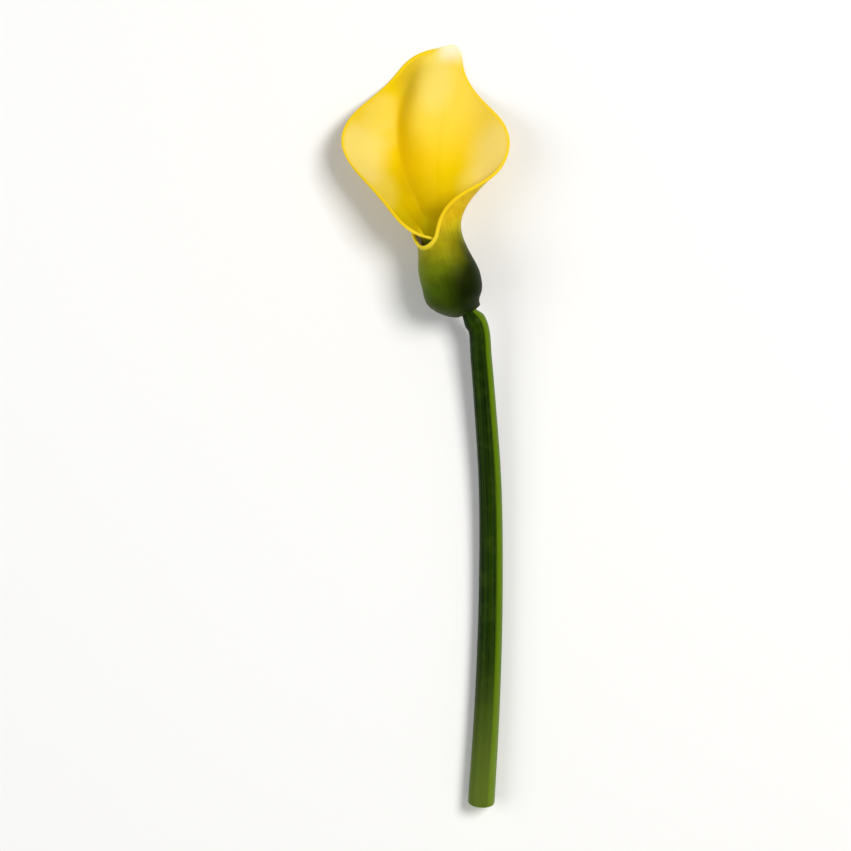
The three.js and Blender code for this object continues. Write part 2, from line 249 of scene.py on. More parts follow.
def tube_middle(height):
    """The middle of the tube at a height, with the knee where it comes off the stem."""
    knee = np.exp(-np.asarray(height) / KNEE_HEIGHT)[..., None]
    belly = BELLY_LEFT * np.exp(-(((height - BELLY_HEIGHT) / BELLY_SPREAD) ** 2))
    return point(TUBE_LEAN * height + TUBE_BOW * height**2 - belly, height, TUBE_RISE * height) + KNEE * knee


def on_tube(angle, height, stand=0.0):
    """A point on the tube's wall, standing out by more than the wall where stand is above 0."""
    angle = np.asarray(angle, float)
    height = np.asarray(height, float)
    step = 0.02
    slope = (tube_radius(height + step) - tube_radius(height)) / step
    along = (WIND * angle / 360 + stand) / np.hypot(1, slope)
    out = outward(angle) * (tube_radius(height) + along)[..., None]
    sides = SIDES_RISE * (np.hypot(out[..., 0], SIDES_FROM) - SIDES_FROM)
    drop = HANG_LEFT * out[..., 0] - HANG_FRONT * out[..., 2]
    hang = np.exp(-((height / HANG_HEIGHT) ** 2)) * (drop + sides)
    tilt = np.exp(-height / FOOT_TILT_HEIGHT) * FOOT_TILT * out[..., 0]
    return tube_middle(height) + out + point(0, hang + tilt - along * slope, 0)


def margin(angle, height, stand, roll):
    """A row of the rim that is placed on the tube's wall."""
    return (angle, *on_tube(angle, height, stand), roll)


# The rim, from the inner margin, which is hidden in the tube, round the left lobe, the tip and the right
# lobe, and across the front to the outer margin. Each row is the angle round the tube where the sheet comes
# up, the rim's place from the foot, and how strongly the rim rolls outwards.
RIM = np.array(
    [
        margin(-193, 19.0, 0, 0),
        margin(-183, 21.4, 0, 0),
        (-166, -7.4, 23.0, 6.8, 0.1),
        (-148, -11.8, 23.8, 7.3, 0.2),
        (-134, -16.8, 27.2, 6.8, 0.3),
        (-123, -21.1, 33.2, 5.6, 0.4),
        (-112, -25.6, 38.4, 4.2, 0.4),
        (-101, -30.3, 43.2, 2.4, 0.5),
        (-88, -33.7, 48.6, 0.0, 0.7),
        (-73, -34.0, 54.4, -3.0, 0.8),
        (-58, -30.8, 59.9, -6.4, 0.7),
        (-43, -25.4, 64.6, -9.8, 0.6),
        (-28, -19.4, 69.8, -12.8, 0.7),
        (-13, -14.9, 76.4, -14.8, 0.8),
        (0, -9.4, 79.2, -15.8, 0.8),
        (10, -4.5, 80.0, -16.2, 0.7),
        (17, -0.7, 81.6, -16.3, 0.6),
        (24, 1.8, 79.0, -15.9, 0.7),
        (34, 1.7, 73.4, -14.6, 0.7),
        (46, 5.0, 67.0, -12.0, 0.6),
        (59, 9.8, 62.0, -8.8, 0.6),
        (73, 14.3, 57.2, -5.0, 0.7),
        (87, 16.0, 51.0, -1.0, 0.8),
        (101, 14.1, 44.6, 2.8, 0.7),
        (115, 9.7, 40.2, 6.2, 0.6),
        (129, 4.9, 37.6, 8.6, 0.5),
        (143, 0.1, 34.9, 9.6, 0.5),
        (157, -4.0, 30.8, 9.4, 0.5),
        (171, -5.6, 26.2, 8.8, 0.5),
        margin(187, 23.4, 1.0, 0.6),
        margin(204, 20.9, 1.1, 0.8),
        margin(221, 19.6, 1.1, 0.9),
        margin(236, 19.7, 1.1, 0.9),
        margin(250, 20.8, 1.0, 0.8),
        margin(263, 22.6, 0.9, 0.7),
        margin(276, 24.6, 0.8, 0.5),
        margin(289, 25.7, 0.7, 0.4),
        margin(302, 24.2, 0.6, 0.3),
        margin(312, 20.5, 0.4, 0.2),
    ]
)
FOOT_FROM = -112  # at the foot the margins overlap only a little
FOOT_TO = 262
FAN_HEIGHT = 12.0  # above this height the margins have fanned out to their full overlap


def spline(rows, x):
    """A uniform cubic B-spline through the first and the last row."""
    last = len(rows) - 1
    padded = np.vstack([2 * rows[0] - rows[1], rows, 2 * rows[last] - rows[last - 1]])
    k = np.minimum(np.floor(x), last - 1).astype(int)
    f = (x - k)[..., None]
    weights = [(1 - f) ** 3, 3 * f**3 - 6 * f**2 + 4, -3 * f**3 + 3 * f**2 + 3 * f + 1, f**3]
    return sum(w / 6 * padded[k + j] for j, w in enumerate(weights))


def along_curve(points, shares):
    """Points on a centripetal Catmull-Rom curve at shares of its length, and the directions there."""
    p = np.array(points, float)
    p = np.vstack([2 * p[0] - p[1], p, 2 * p[-1] - p[-2]])
    t = np.linspace(0, 1, 100)[:, None]
    fine = []
    for p0, p1, p2, p3 in zip(p, p[1:], p[2:], p[3:]):
        d0, d1, d2 = (np.sqrt(np.linalg.norm(b - a)) for a, b in ((p0, p1), (p1, p2), (p2, p3)))
        start = ((p1 - p0) / d0 - (p2 - p0) / (d0 + d1) + (p2 - p1) / d1) * d1
        end = ((p2 - p1) / d1 - (p3 - p1) / (d1 + d2) + (p3 - p2) / d2) * d1
        square = (3 * (p2 - p1) - 2 * start - end) * t**2
        cube = (2 * (p1 - p2) + start + end) * t**3
        fine.append(p1 + start * t + square + cube)
    fine = np.vstack([fine[0], *(piece[1:] for piece in fine[1:])])
    reached = np.concatenate([[0], np.cumsum(np.linalg.norm(np.diff(fine, axis=0), axis=1))])
    way = unit(np.gradient(fine, reached, axis=0))
    at = np.asarray(shares) * reached[-1]
    placed = np.stack([np.interp(at, reached, fine[:, k]) for k in range(3)], axis=-1)
    return placed, unit(np.stack([np.interp(at, reached, way[:, k]) for k in range(3)], axis=-1))


def fold_weight(place, angle, opened):
    """How deep the fold left of the middle is at each place, from 0 to 1."""
    bottom = FOLD_LEFT + FOLD_BOW * (place[..., 1] - FOLD_HEIGHT) ** 2
    aside = place[..., 0] - bottom
    across = np.exp(-((aside / np.where(aside < 0, FOLD_WIDTH_LEFT, FOLD_WIDTH_RIGHT)) ** 2))
    along = smoothstep(opened, 0, FOLD_START) * (1 - FOLD_FADE * smoothstep(opened, FOLD_FADE_FROM, 1))
    return across * along * (1 - smoothstep(np.abs(angle - FOLD_ANGLE), *FOLD_REACH))


def painted_valley_shade(place):
    """How much painted shade darkens the yellow along the fold, from 0 to 1: it starts sharply on the left
    and dies out softly on the right, and it leans to the right and widens towards the rim and towards the
    throat."""
    x, y = place[..., 0], place[..., 1]
    line = VALLEY_BOW * (y - VALLEY_HEIGHT) ** 2 + VALLEY_LEFT
    aside = x - (line + VALLEY_STEP * smoothstep(y, *VALLEY_STEP_UP))
    above = WIDENS_UP * np.maximum(y - WIDENS_ABOVE, 0)
    left = VALLEY_WIDTH_LEFT + above + WIDENS_DOWN_LEFT * np.maximum(WIDENS_BELOW - y, 0)
    right = VALLEY_WIDTH_RIGHT + WIDENS_DOWN_RIGHT * np.maximum(VALLEY_HEIGHT - y, 0)
    across = np.exp(-((aside / np.where(aside < 0, left, right)) ** 2))
    return across * smoothstep(y, *VALLEY_TOP) * smoothstep(y, *VALLEY_FOOT)


def painted_throat_shade(place):
    """How much painted shade darkens the yellow down in the throat, from 0 to 1."""
    (at_x, at_y), (wide, long) = THROAT, THROAT_REACH
    return np.exp(-(((place[..., 0] - at_x) / wide) ** 2) - ((place[..., 1] - at_y) / long) ** 2)


def painted_light(place):
    """Painted light that makes the inside paler, from 0 to 1, on both lobes and the crown below the tip, not
    in the fold.
    """
    x, y = place[..., 0], place[..., 1]
    pale = CROWN * smoothstep(y, *CROWN_FOOT) * smoothstep(x, *CROWN_LEFT)
    for at_x, at_y, wide, long, strength in PAINTED_LIGHT_PATCHES:
        away = np.hypot((x - at_x) / wide, (y - at_y) / long)
        pale = pale + strength * smoothstep(away, *PATCH_EDGE)
    return np.minimum(pale, 1) * (1 - SHADE_OVER_LIGHT * painted_valley_shade(place))


def rest_on_floor(place):
    """Lies the sheet down softly on the floor, at half its thickness."""
    lowest = SPATHE_THICK / 2 - PRESS - BASE[2]
    place[..., 2] = lowest + FLOOR_GIVE * np.logaddexp(0, (place[..., 2] - lowest) / FLOOR_GIVE)
    return place


def mouth_rows(start, start_way, rim, angle, roll, opened):
    """The sheet from the waist to the rim: it goes on along the tube's wall, then opens and rolls out."""
    chord = rim - start
    reach = np.linalg.norm(chord, axis=-1, keepdims=True)
    side = outward(angle - SIDE_TURN * np.sin(np.radians(angle)))
    end_way = unit(unit(chord) + side * roll)
    handles = (start, start + START_PULL * reach * start_way, rim - RIM_PULL * reach * end_way, rim)
    t = opened[..., None]
    weights = ((1 - t) ** 3, 3 * t * (1 - t) ** 2, 3 * t**2 * (1 - t), t**3)
    place = sum(w * h for w, h in zip(weights, handles))
    place[..., 2] -= FOLD_DEPTH * fold_weight(place, angle, opened)
    return rest_on_floor(place)


def spathe_sheet():
    """The middle of the spathe's sheet as a grid of points, from the inner margin to the outer one and from
    the foot to the rim, with the angle round the tube and the painted shade of the yellow at each."""
    across = np.linspace(0, 1, SPATHE_COLUMNS + 1)[:, None]
    row = spline(RIM, across * (len(RIM) - 1))
    angle, rim, roll = row[..., 0], row[..., 1:4], row[..., 4:]
    opens_at = WAIST_HEIGHT + WAIST_RISE * (1 + np.sin(np.radians(angle))) / 2
    waist = np.minimum(opens_at, np.maximum(LOWEST_START * rim[..., 1], rim[..., 1] - LIP_REACH))
    foot_angle = lerp(FOOT_FROM, FOOT_TO, across)

    def tube(height):
        return on_tube(lerp(foot_angle, angle, smoothstep(height, 0, FAN_HEIGHT)), height)

    low = rest_on_floor(tube(waist * np.linspace(0, 1, TUBE_ROWS + 1)[None, :-1] ** TUBE_CROWD))
    start = tube(waist)
    step = 0.1
    start_way = unit(start - tube(waist - step))
    opened = np.linspace(0, 1, MOUTH_ROWS + 1)[None]
    high = mouth_rows(start, start_way, rim, angle, roll, opened)
    place = np.concatenate([low, high], axis=1)
    shade = np.maximum(painted_valley_shade(high), painted_throat_shade(high)) * smoothstep(opened, 0, SHADE_START)
    shade = shade * (1 - smoothstep(np.abs(angle - FOLD_ANGLE), *SHADE_REACH))
    return place, np.broadcast_to(angle, place.shape[:2]), np.pad(shade, ((0, 0), (low.shape[1], 0)))


def sheet_normals(place):
    """The directions that point out of the tube, square to the sheet."""
    return unit(np.cross(np.gradient(place, axis=1), np.gradient(place, axis=0)))


def edge_distance(place):
    """How far each point of the sheet is from the nearest margin or from the rim, along the sheet."""
    up = np.cumsum(np.linalg.norm(np.diff(place[:, ::-1], axis=1), axis=-1), axis=1)
    up = np.pad(up, ((0, 0), (1, 0)))[:, ::-1]
    across = np.linalg.norm(np.diff(place, axis=0), axis=-1)
    inner = np.pad(np.cumsum(across, axis=0), ((1, 0), (0, 0)))
    outer = np.pad(np.cumsum(across[::-1], axis=0), ((1, 0), (0, 0)))[::-1]
    return np.minimum(up, np.minimum(inner, outer))


def vein_relief(angle, edge):
    """Fine raised veins along the sheet, each of its own strength, that die out at the rim."""
    count = int((RIM[-1, 0] - RIM[0, 0]) / VEIN_ANGLE) + 3
    strength = np.random.default_rng(VEIN_SEED).uniform(*VEIN_STRENGTHS, count)
    phase = (angle - RIM[0, 0]) / VEIN_ANGLE + 1
    near = strength[np.clip(np.round(phase).astype(int), 0, count - 1)]
    return VEIN_RELIEF * near * np.cos(2 * np.pi * phase) * smoothstep(edge, *VEIN_FADE)


def sheet_thickness(edge):
    """How thick the sheet is: thin at the foot, thickest above it, thinner at the rim, with a bead there."""
    tube = np.linspace(0, TUBE_SHARE, TUBE_ROWS + 1)[:-1]
    up = np.concatenate([tube, np.linspace(TUBE_SHARE, 1, MOUTH_ROWS + 1)])
    foot_ends = 0.15
    thinner = (SPATHE_THICK - FOOT_THICK) * (1 - smoothstep(up, 0, foot_ends))
    thick = lerp(SPATHE_THICK, RIM_THICK, up) - thinner
    bead = RIM_BEAD * (1 - smoothstep(edge, *RIM_BEAD_WIDTH)) * smoothstep(up, foot_ends, TUBE_SHARE)
    return thick + bead


def edge_strips(place, half, border):
    """Rows of points along the sheet's border that make its edge round, from the outer face to the inner."""
    way = np.zeros_like(place)
    way[:, 0] -= unit(place[:, 1] - place[:, 0])
    way[:, -1] += unit(place[:, -1] - place[:, -2])
    way[0] -= unit(place[1] - place[0])
    way[-1] += unit(place[-1] - place[-2])
    middle, up, way = (grid.reshape(-1, 3)[border] for grid in (place, half, way))
    ahead = unit(way) * np.linalg.norm(up, axis=1, keepdims=True)
    return [middle + up * math.cos(turn) + ahead * math.sin(turn) for turn in EDGE_TURNS]


def sheet_faces(number, border):
    """Quads for the outer and the inner face, and for the edge between them."""
    outer = np.stack([number[:-1, :-1], number[:-1, 1:], number[1:, 1:], number[1:, :-1]], axis=-1)
    outer = outer.reshape(-1, 4)
    inner = outer[:, ::-1] + number.size
    strips = [2 * number.size + k * len(border) + np.arange(len(border)) for k in range(len(EDGE_TURNS))]
    rings = [border, *strips, border + number.size]
    edge = [np.stack([a, np.roll(a, -1), np.roll(b, -1), b], axis=-1) for a, b in zip(rings, rings[1:])]
    return np.vstack([outer, inner, *edge]).tolist()


def make_piece(name, slot, node, vertices, faces, material, **attributes):
    """A mesh of the object in metres, that stands for a CAD node and takes the material it is given; the slot
    is not used.
    """
    mesh = bpy.data.meshes.new(name)
    mesh.from_pydata((np.asarray(vertices) + BASE) * MM, [], faces)
    mesh.polygons.foreach_set("use_smooth", np.ones(len(mesh.polygons), bool))
    for key, values in attributes.items():
        flat = np.asarray(values, np.float32).ravel()
        mesh.attributes.new(key, "FLOAT", "POINT").data.foreach_set("value", flat)
    mesh.materials.append(material)
    mesh.update()
    mesh.validate()
    piece = bpy.data.objects.new(name, mesh)
    bpy.context.scene.collection.objects.link(piece)
    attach(piece, "root")
    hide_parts(node)


def make_spathe():
    """The sheet with its two faces and a round edge between them."""
    # fold holds the painted shade of the fold and the throat, and pale the painted light on the lobes and
    # crown
    place, angle, fold = spathe_sheet()
    edge = edge_distance(place)
    pale = painted_light(place)
    normal = sheet_normals(place)
    place = place + normal * vein_relief(angle, edge)[..., None]
    half = normal * sheet_thickness(edge)[..., None] / 2
    number = np.arange(place.shape[0] * place.shape[1]).reshape(place.shape[:2])
    border = np.concatenate([number[:-1, 0], number[-1, :-1], number[:0:-1, -1], number[0, :0:-1]])
    strips = edge_strips(place, half, border)
    vertices = np.vstack([(place + half).reshape(-1, 3), (place - half).reshape(-1, 3), *strips])
    vertices[:, 2] = np.maximum(vertices[:, 2], -BASE[2])
    round_edge = [np.full(len(border), turn / np.pi) for turn in EDGE_TURNS]
    inside = np.concatenate([np.zeros(number.size), np.ones(number.size), *round_edge])

    def on_all(grid):
        """The grid's values on both faces and on the round edge."""
        return np.concatenate([grid.ravel(), grid.ravel(), *([grid.ravel()[border]] * len(strips))])

    make_piece(
        "flower_spathe", "spathe", "spathe", vertices, sheet_faces(number, border), spathe_material(),
        inside=inside, angle=on_all(angle), fold=on_all(fold), edge=on_all(edge), pale=on_all(pale),
    )


def rings_around(ways, sides):
    """For rings square to a route that runs mostly along Y: the turn of each point of a ring, and the
    directions out to them."""
    right = unit(np.cross((0.0, 0.0, 1.0), ways))
    above = np.cross(ways, right)
    turn = np.linspace(0, 2 * np.pi, sides, endpoint=False)
    out = right[:, None] * np.cos(turn)[None, :, None] + above[:, None] * np.sin(turn)[None, :, None]
    return turn, out


def ring_faces(rings, sides):
    """Quads between rings of points, with a fan to one more point at each end."""
    number = np.arange(rings * sides).reshape(rings, sides)
    after = np.roll(number, -1, axis=1)
    quads = np.stack([number[:-1], after[:-1], after[1:], number[1:]], axis=-1).reshape(-1, 4).tolist()
    first = [[rings * sides, b, a] for a, b in zip(number[0].tolist(), after[0].tolist())]
    last = [[rings * sides + 1, a, b] for a, b in zip(number[-1].tolist(), after[-1].tolist())]
    return quads + first + last


FOOT = tube_middle(0.0)
FOOT_WAY = unit(np.array([-HANG_LEFT - FOOT_TILT, 1, HANG_FRONT]))


def lying(radius):
    """The height of the stem's middle where it lies on the floor."""
    return radius - BASE[2]


def stem_route():
    """The stem's middle, from inside the spathe's foot to the cut."""
    return [
        FOOT + FOOT_WAY * STEM_HEAD,
        FOOT - FOOT_WAY * STEM_HEAD,
        (6.4, -3.3, -3.8),
        (7.3, -12, -5.1),
        (8.3, -24, -6.5),
        (10.0, -50, -8.3),
        (10.2, -82, lying(STEM_LYING_RADIUS)),
        (9.2, -114, lying(STEM_LYING_RADIUS)),
        (7.4, -STEM_LENGTH, lying(STEM_CUT_RADIUS)),
    ]


def stem_radius(share, below):
    """The stem's radius at a share of its length, with the narrow head and the shoulder below it."""
    head = (STEM_TOP_RADIUS - STEM_HEAD_RADIUS) * (1 - smoothstep(below, *STEM_HEAD_LENGTH))
    shoulder = SHOULDER * np.exp(-(((below - SHOULDER_AT) / SHOULDER_SPREAD) ** 2))
    return lerp(STEM_TOP_RADIUS, STEM_CUT_RADIUS, share) - head + shoulder


def stem_ridges(turn, share):
    """How far the stem's surface is below the tops of its low ridges, as a number below 0."""
    sway = RIDGE_SWAY * np.sin(share[:, None] * RIDGE_SWAYS)
    ridges = RIDGE_RELIEF * np.cos(RIDGES * turn + sway)
    fine_ridges = FINE_RIDGE_RELIEF * np.cos(FINE_RIDGES * turn + 1.0)
    return ridges + fine_ridges - RIDGE_RELIEF - FINE_RIDGE_RELIEF


def cut_rings(centre, way, out, radius):
    """Rings that run from the bevelled edge of the cut in to its middle, and how far in each one is."""
    inset = np.concatenate([BEVEL_INSET, np.linspace(*FLESH_INSET, CUT_RINGS)])
    flesh = FLESH_AHEAD - PITH_DEPTH * smoothstep(inset[len(BEVEL_INSET) :], *PITH_EDGE)
    ahead = np.concatenate([BEVEL_AHEAD, flesh])
    return centre + out[None] * (radius - inset)[:, None, None] + way * ahead[:, None, None], inset


def make_stem():
    """The stem from inside the spathe's foot to its slanted cut."""
    share = np.linspace(0, 1, STEM_RINGS + 1) ** STEM_CROWD
    centre, way = along_curve(stem_route(), share)
    turn, out = rings_around(way, STEM_SIDES)
    below = share * STEM_WAY
    radius = stem_radius(share, below)
    skin = centre[:, None] + out * (radius[:, None] + stem_ridges(turn, share))[..., None]
    cap, inset = cut_rings(centre[-1], way[-1], out[-1], radius[-1])
    body = np.concatenate([skin, cap])

    # The slant leans the cut and the skin's last ring, and half as much the ring before it.
    slanted = np.zeros(len(body))
    slanted[STEM_RINGS - 1 :] = 1
    slanted[STEM_RINGS - 1] = 0.5
    body += way[-1] * (slanted[:, None] * CUT_SLANT * (body[..., 2] - lying(STEM_CUT_RADIUS)))[..., None]
    body[..., 2] = np.maximum(body[..., 2], -BASE[2])

    skin_points, cut_points = len(skin) * STEM_SIDES, len(cap) * STEM_SIDES
    towards_edge = np.repeat(1 - inset / STEM_CUT_RADIUS, STEM_SIDES)
    make_piece(
        "flower_stem", "stem", "stem",
        np.vstack([body.reshape(-1, 3), centre[0], body[-1].mean(axis=0)]),
        ring_faces(len(body), STEM_SIDES), stem_material(),
        cut=np.concatenate([np.zeros(skin_points), np.ones(cut_points), [0, 1]]),
        outer=np.concatenate([np.ones(skin_points), towards_edge, [1, 0]]),
        below=np.concatenate([np.repeat(below, STEM_SIDES), np.full(cut_points, below[-1]), [0, below[-1]]]),
        to_right=np.concatenate([np.tile(np.cos(turn), len(body)), [0, 0]]),
        upwards=np.concatenate([np.tile(np.sin(turn), len(body)), [0, 0]]),
    )


def make_spadix():
    """The spadix: a blunt finger that is covered with rows of small round florets."""
    bottom = STEM_HEAD + CLEARANCE
    route = [FOOT + FOOT_WAY * bottom, FOOT + FOOT_WAY * (bottom + SPADIX_STRAIGHT), *SPADIX_ROUTE]
    share = np.linspace(0, 1, SPADIX_RINGS + 1)
    centre, way = along_curve(route, share)
    turn, out = rings_around(way, SPADIX_SIDES)
    body = lerp(SPADIX_RADIUS, SPADIX_TIP_RADIUS, share**SPADIX_TAPER)
    dome = np.sqrt(1 - np.maximum(0, (share - DOME_FROM) / DOME_REACH) ** 2)
    row = np.pi * share[:, None] * FLORET_ROWS
    spread = np.cos(turn * FLORETS_ROUND + row) * np.cos(turn * FLORETS_ROUND - row)
    bump = np.sqrt(np.abs((spread + 1) / 2)) * 2 - 1
    radius = (body[:, None] + FLORET_RELIEF * bump) * dome[:, None]
    places = centre[:, None] + out * radius[..., None]
    make_piece(
        "flower_spadix", "spadix", "spadix",
        np.vstack([places.reshape(-1, 3), centre[0], centre[-1]]),
        ring_faces(len(places), SPADIX_SIDES), spadix_material(),
        floret=np.concatenate([bump.ravel(), [0, 0]]),
    )


def linear(red, green, blue):
    """A colour as the linear one that Blender takes."""
    channels = [c / 255 for c in (red, green, blue)]
    return (*(c / 12.92 if c <= 0.04045 else ((c + 0.055) / 1.055) ** 2.4 for c in channels), 1)


class Shading:
    """A material's nodes, each made by a short call that gives its output."""

    def __init__(self, name):
        self.material = bpy.data.materials.new(name)
        self.material.use_nodes = True
        self.tree = self.material.node_tree
        self.surface = self.tree.nodes["Principled BSDF"]

    def node(self, kind, **settings):
        made = self.tree.nodes.new(kind)
        for key, value in settings.items():
            setattr(made, key, value)
        return made

    def put(self, socket, value):
        if isinstance(value, bpy.types.NodeSocket):
            self.tree.links.new(value, socket)
        else:
            socket.default_value = value

    def attribute(self, name):
        return self.node("ShaderNodeAttribute", attribute_name=name).outputs["Fac"]

    def place(self):
        """Object coordinates, in metres."""
        return self.node("ShaderNodeTexCoord").outputs["Object"]

    def from_foot(self, axis):
        """How far a place is from the tube's foot along one axis, in millimetres."""
        parts = self.node("ShaderNodeSeparateXYZ")
        self.put(parts.inputs[0], self.place())
        return self.math("SUBTRACT", self.math("DIVIDE", parts.outputs[axis], MM), BASE[axis])

    def math(self, operation, a, b=0.0):
        made = self.node("ShaderNodeMath", operation=operation)
        self.put(made.inputs[0], a)
        self.put(made.inputs[1], b)
        return made.outputs[0]

    def between(self, value, low, high, out_low=0.0, out_high=1.0):
        """A smooth step of a value from low to high."""
        made = self.node("ShaderNodeMapRange", interpolation_type="SMOOTHSTEP")
        for socket, number in zip(made.inputs, (value, low, high, out_low, out_high)):
            self.put(socket, number)
        return made.outputs[0]

    def mix(self, share, a, b, blend="MIX"):
        """From colour a to colour b, by a share. MULTIPLY tints a by b instead."""
        made = self.node("ShaderNodeMix", data_type="RGBA", blend_type=blend)
        for key, value in ((0, share), (6, a), (7, b)):
            self.put(made.inputs[key], value)
        return made.outputs[2]

    def ramp(self, value, stops):
        """A colour that changes with a value: the stops are values and colours."""
        first, last = stops[0][0], stops[-1][0]
        made = self.node("ShaderNodeValToRGB")
        self.put(made.inputs[0], self.math("DIVIDE", self.math("SUBTRACT", value, first), last - first))
        elements = made.color_ramp.elements
        elements.remove(elements[0])
        for k, (at, colour) in enumerate(stops):
            element = elements[0] if k == 0 else elements.new((at - first) / (last - first))
            element.position = (at - first) / (last - first)
            element.color = linear(*colour)
        return made.outputs[0]

    def noise(self, scale, detail, vector=None):
        """Noise from 0 to 1, in object coordinates unless a vector is given."""
        made = self.node("ShaderNodeTexNoise")
        self.put(made.inputs["Vector"], self.place() if vector is None else vector)
        made.inputs["Scale"].default_value = scale
        made.inputs["Detail"].default_value = detail
        return made.outputs["Fac"]

    def pores(self, scale):
        """The distance from the nearest of many scattered points."""
        made = self.node("ShaderNodeTexVoronoi")
        self.put(made.inputs["Vector"], self.place())
        made.inputs["Scale"].default_value = scale
        return made.outputs["Distance"]

    def combine(self, x, y, z):
        made = self.node("ShaderNodeCombineXYZ")
        for socket, value in zip(made.inputs, (x, y, z)):
            self.put(socket, value)
        return made.outputs[0]

    def bump(self, height, distance):
        """A normal that follows a height, whose full range is as deep as the distance."""
        made = self.node("ShaderNodeBump")
        made.inputs["Strength"].default_value = 1.0
        made.inputs["Distance"].default_value = distance
        self.put(made.inputs["Height"], height)
        return made.outputs[0]

    def set(self, **inputs):
        """Sets or links the surface's inputs, whose names are written with _ for a space."""
        for key, value in inputs.items():
            self.put(self.surface.inputs[key.replace("_", " ")], value)


def mouth_paint(s, height, fold, pale):
    """The inside: golden, with painted shade in the fold and throat, painted light on the lobes and crown,
    green at the foot.
    """
    side = s.from_foot(0)
    full = s.mix(s.between(height, 50, 38), linear(246, 207, 6), linear(234, 206, 4))
    # deep is the yellow of the painted shade in the fold and throat, darker still low down
    deep = s.mix(s.between(height, 62, 69), linear(222, 182, 0), linear(213, 179, 30))
    deep = s.mix(s.between(height, 45, 36), deep, linear(206, 172, 0))
    # Low in the throat: painted shade on the left, and on the right a bright lemon that is painted light
    bottom = s.mix(s.between(side, -12, -8.5), linear(190, 164, 0), linear(255, 244, 20))
    throat = s.mix(s.between(height, 32, 26), linear(202, 178, 0), bottom)
    colour = s.mix(s.math("MULTIPLY", fold, 0.95), full, deep)
    colour = s.mix(s.between(height, 38, 27), colour, throat)
    # pale mixes in the painted light, a paler yellow
    colour = s.mix(pale, colour, linear(252, 224, 112))
    # Painted shade: the far sides of the lobes and the lower left are a little darker
    lobes = s.math("MAXIMUM", s.between(side, 2, 10), s.between(side, -20, -30, 0.0, 0.5))
    colour = s.mix(lobes, colour, linear(240, 240, 248), "MULTIPLY")
    low_left = s.math("MULTIPLY", s.between(side, -15, -22), s.between(height, 50, 40))
    colour = s.mix(low_left, colour, linear(240, 240, 246), "MULTIPLY")
    return s.mix(s.between(height, 12, 2), colour, linear(140, 146, 30))


def back_paint(s, height, angle, lanes):
    """The outside: green below and yellow above, a streaked border, mottle, and painted shade low down and on
    the right.
    """
    streaked = s.math("ADD", height, s.math("MULTIPLY", s.math("SUBTRACT", lanes, 0.5), 5))
    # left is the lit side; right is its copy in painted shade, for the shaded right of the bulb
    left = s.ramp(streaked, [
        (0, (48, 66, 8)), (4, (60, 80, 8)), (8, (76, 100, 8)), (12, (104, 122, 12)), (15, (120, 130, 14)),
        (18, (146, 146, 18)), (21, (170, 158, 16)), (24, (182, 168, 16)), (27, (230, 192, 28)),
        (34, (232, 194, 30)), (45, (236, 204, 50)), (60, (240, 210, 60)),
    ])
    right = s.ramp(streaked, [
        (0, (26, 42, 3)), (4, (22, 36, 2)), (7, (14, 26, 0)), (12, (24, 36, 1)), (15, (24, 36, 2)),
        (18, (36, 44, 3)), (21, (78, 84, 6)), (24, (131, 130, 12)), (27, (188, 176, 20)),
        (30, (220, 186, 18)), (34, (224, 188, 30)), (45, (236, 204, 50)), (60, (240, 210, 60)),
    ])
    # The painted shade on the right reaches further round the tube low down
    painted_shade_from = s.math("ADD", angle, s.between(height, 9, 18, 0.0, 45.0))
    colour = s.mix(s.between(painted_shade_from, 238, 158), left, right)
    mottle = s.between(s.noise(420, 4), 0.42, 0.62, 0.0, 0.3)
    return s.mix(mottle, colour, linear(214, 196, 170), "MULTIPLY")


def edge_paint(s, height, angle, edge, colour):
    """A colour of the sheet with the rim's line over it, paler at the lip as a painted highlight, and the
    whitish tip.
    """
    # Along the rim: green at the foot, deep yellow higher up, and paler at the lip, a painted highlight
    rim = s.ramp(height, [
        (3, (84, 102, 12)), (12, (116, 128, 14)), (18, (240, 220, 60)), (23, (248, 218, 50)),
        (30, (248, 210, 26)),
    ])
    colour = s.mix(s.between(edge, 1.2, 0.3, 0.0, 0.85), colour, rim)
    # The whitish tip: partly the tip's own pale green and partly a painted highlight
    tip = s.math("MULTIPLY", s.between(height, 74.2, 80.6), s.between(angle, 4, 14))
    return s.mix(tip, colour, linear(251, 243, 208))


